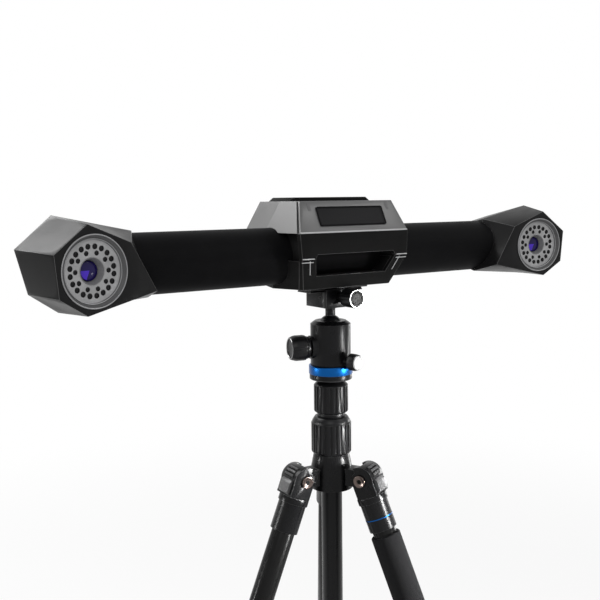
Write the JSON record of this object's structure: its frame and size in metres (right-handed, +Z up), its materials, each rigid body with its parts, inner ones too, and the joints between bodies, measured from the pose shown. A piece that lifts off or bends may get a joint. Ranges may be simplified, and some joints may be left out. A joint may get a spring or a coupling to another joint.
{
  "type": "three-dimensional scanner",
  "caption": "Tracking scanner: a crossbar with a toed-in camera head at each end and a faceted hub, clamped on a ball head and a folding tripod.",
  "frame": {"origin": "on the floor under the tripod's centre column", "axes": "+Z up along the centre column; X along the crossbar; the cameras look towards -Y"},
  "size_m": [1.0202, 0.4729, 0.9589],
  "materials": {
    "tube_black": "satin black composite tube",
    "head_grey": "satin dark grey",
    "hub_grey": "satin mid grey",
    "hub_black": "satin black",
    "panel_black": "bare dark panel",
    "ring_silver": "satin silver",
    "lamp_plate": "off-white satin",
    "lamp_black": "glossy black",
    "lens_violet": "coated glass",
    "barrel_black": "black anodised",
    "anodised_black": "satin black anodised",
    "ring_blue": "blue anodised",
    "steel": "plain steel",
    "alloy": "satin alloy",
    "leg_black": "satin black composite tube",
    "grip_rubber": "black rubber",
    "foam_grey": "dark grey foam"
  },
  "bodies": {
    "tripod": {"crown": "anodised_black", "pivot_bolts": "steel"},
    "lower_column_grip": {"lower_column_lock": "grip_rubber"},
    "outer_column": {"outer_column": "anodised_black", "column_hook": "anodised_black"},
    "upper_column_grip": {"upper_column_lock": "grip_rubber"},
    "inner_column": {"inner_column": "anodised_black", "pan_base": "anodised_black", "pan_ring": "ring_blue"},
    "ball_housing": {"ball_housing": "anodised_black"},
    "main_lock_knob": {"main_lock_knob": "grip_rubber"},
    "pan_lock_knob": {"pan_lock_knob": "grip_rubber"},
    "scanner": {"ball_stem": "anodised_black", "clamp_body": "anodised_black", "quick_plate": "anodised_black", "mount_screw": "steel", "crossbar_tube": "tube_black", "tube_plugs": "barrel_black", "head_front_right": "head_grey", "head_front_left": "head_grey", "head_rear_right": "head_grey", "head_rear_left": "head_grey", "bezel_ring_right": "ring_silver", "bezel_ring_left": "ring_silver", "led_plate_right": "lamp_plate", "led_plate_left": "lamp_plate", "led_lamps": "lamp_black", "camera_barrel_right": "barrel_black", "camera_barrel_left": "barrel_black", "front_lenses": "lens_violet", "front_panel": "panel_black", "hub_front_cover": "hub_grey", "hub_front_frame": "hub_black", "hub_rear_frame": "hub_black", "hub_cover": "hub_grey", "hub_core": "hub_black", "hub_lower_shell": "hub_black", "hub_top_plate": "hub_black", "rear_sockets": "hub_black"},
    "clamp_jaw": {"clamp_jaw": "anodised_black"},
    "clamp_knob": {"clamp_knob": "grip_rubber"},
    "leg_rear": {"leg_casting_rear": "anodised_black", "leg_upper_rear": "leg_black"},
    "angle_tab_rear": {"angle_tab_rear": "alloy"},
    "leg_grip_rear": {"leg_lock_rear": "grip_rubber"},
    "lower_leg_rear": {"leg_lower_rear": "leg_black", "leg_foot_rear": "grip_rubber"},
    "leg_left": {"leg_casting_left": "anodised_black", "leg_upper_left": "leg_black"},
    "angle_tab_left": {"angle_tab_left": "alloy"},
    "leg_grip_left": {"leg_lock_left": "grip_rubber"},
    "lower_leg_left": {"leg_lower_left": "leg_black", "leg_foot_left": "grip_rubber"},
    "leg_front": {"leg_casting_front": "anodised_black", "leg_upper_front": "leg_black", "foam_grip": "foam_grey"},
    "angle_tab_front": {"angle_tab_front": "alloy"},
    "leg_grip_front": {"leg_lock_front": "grip_rubber"},
    "lower_leg_front": {"leg_lower_front": "leg_black", "leg_foot_front": "grip_rubber"}
  },
  "joints": [
    {"name": "leg_rear_fold", "type": "hinge", "parent": "tripod", "child": "leg_rear", "pos_m": [0.0344, 0.05158, 0.49881], "axis": [-0.832, 0.5548, 0], "range_deg": [0, 20]},
    {"name": "angle_tab_rear_pull", "type": "slide", "parent": "leg_rear", "child": "angle_tab_rear", "axis": [0.5152, 0.7725, 0.3714], "range_m": [0, 0.006], "stiffness_N_per_m": 400, "springref_m": -0.004},
    {"name": "leg_grip_rear_turn", "type": "hinge", "parent": "leg_rear", "child": "leg_grip_rear", "pos_m": [0.0344, 0.05158, 0.49881], "axis": [0.2061, 0.309, -0.9285], "range_deg": [0, 120]},
    {"name": "leg_rear_extend", "type": "slide", "parent": "leg_rear", "child": "lower_leg_rear", "axis": [0.2061, 0.309, -0.9285], "range_m": [0, 0.22]},
    {"name": "leg_left_fold", "type": "hinge", "parent": "tripod", "child": "leg_left", "pos_m": [-0.06187, 0.004, 0.49881], "axis": [-0.0645, -0.9979, 0], "range_deg": [0, 20]},
    {"name": "angle_tab_left_pull", "type": "slide", "parent": "leg_left", "child": "angle_tab_left", "axis": [-0.9266, 0.0599, 0.3714], "range_m": [0, 0.006], "stiffness_N_per_m": 400, "springref_m": -0.004},
    {"name": "leg_grip_left_turn", "type": "hinge", "parent": "leg_left", "child": "leg_grip_left", "pos_m": [-0.06187, 0.004, 0.49881], "axis": [-0.3706, 0.024, -0.9285], "range_deg": [0, 120]},
    {"name": "leg_left_extend", "type": "slide", "parent": "leg_left", "child": "lower_leg_left", "axis": [-0.3706, 0.024, -0.9285], "range_m": [0, 0.22]},
    {"name": "leg_front_fold", "type": "hinge", "parent": "tripod", "child": "leg_front", "pos_m": [0.02747, -0.05558, 0.49881], "axis": [0.8965, 0.4431, 0], "range_deg": [0, 20]},
    {"name": "angle_tab_front_pull", "type": "slide", "parent": "leg_front", "child": "angle_tab_front", "axis": [0.4114, -0.8324, 0.3714], "range_m": [0, 0.006], "stiffness_N_per_m": 400, "springref_m": -0.004},
    {"name": "leg_grip_front_turn", "type": "hinge", "parent": "leg_front", "child": "leg_grip_front", "pos_m": [0.02747, -0.05558, 0.49881], "axis": [0.1645, -0.3329, -0.9285], "range_deg": [0, 120]},
    {"name": "leg_front_extend", "type": "slide", "parent": "leg_front", "child": "lower_leg_front", "axis": [0.1645, -0.3329, -0.9285], "range_m": [0, 0.22]},
    {"name": "lower_column_grip_turn", "type": "hinge", "parent": "tripod", "child": "lower_column_grip", "pos_m": [0, 0, 0.53501], "axis": [0, 0, 1], "range_deg": [0, 120]},
    {"name": "outer_column_raise", "type": "slide", "parent": "tripod", "child": "outer_column", "axis": [0, 0, 1], "range_m": [0, 0.2]},
    {"name": "upper_column_grip_turn", "type": "hinge", "parent": "outer_column", "child": "upper_column_grip", "pos_m": [0, 0, 0.60341], "axis": [0, 0, 1], "range_deg": [0, 120]},
    {"name": "inner_column_raise", "type": "slide", "parent": "outer_column", "child": "inner_column", "axis": [0, 0, 1], "range_m": [0, 0.2]},
    {"name": "pan", "type": "hinge", "parent": "inner_column", "child": "ball_housing", "pos_m": [0, 0, 0.68441], "axis": [0, 0, 1], "continuous": true},
    {"name": "ball_tilt", "type": "hinge", "parent": "ball_housing", "child": "scanner", "pos_m": [0, 0, 0.74741], "axis": [1, 0, 0], "range_deg": [-32, 32]},
    {"name": "main_lock_turn", "type": "hinge", "parent": "ball_housing", "child": "main_lock_knob", "pos_m": [0, 0, 0.71491], "axis": [-0.9632, 0.2689, 0], "range_deg": [-90, 270]},
    {"name": "pan_lock_turn", "type": "hinge", "parent": "ball_housing", "child": "pan_lock_knob", "pos_m": [0, 0, 0.69291], "axis": [0.23, -0.9732, 0], "range_deg": [-90, 180]},
    {"name": "jaw_open", "type": "slide", "parent": "scanner", "child": "clamp_jaw", "axis": [0, -1, 0], "range_m": [0, 0.005]},
    {"name": "clamp_knob_turn", "type": "hinge", "parent": "clamp_jaw", "child": "clamp_knob", "pos_m": [0, -0.0282, 0.79891], "axis": [0, -1, 0], "range_deg": [0, 1440]}
  ],
  "couplings": [
    {"joint": "clamp_knob_turn", "follows": "jaw_open", "rad_per_m": 5026.5}
  ]
}
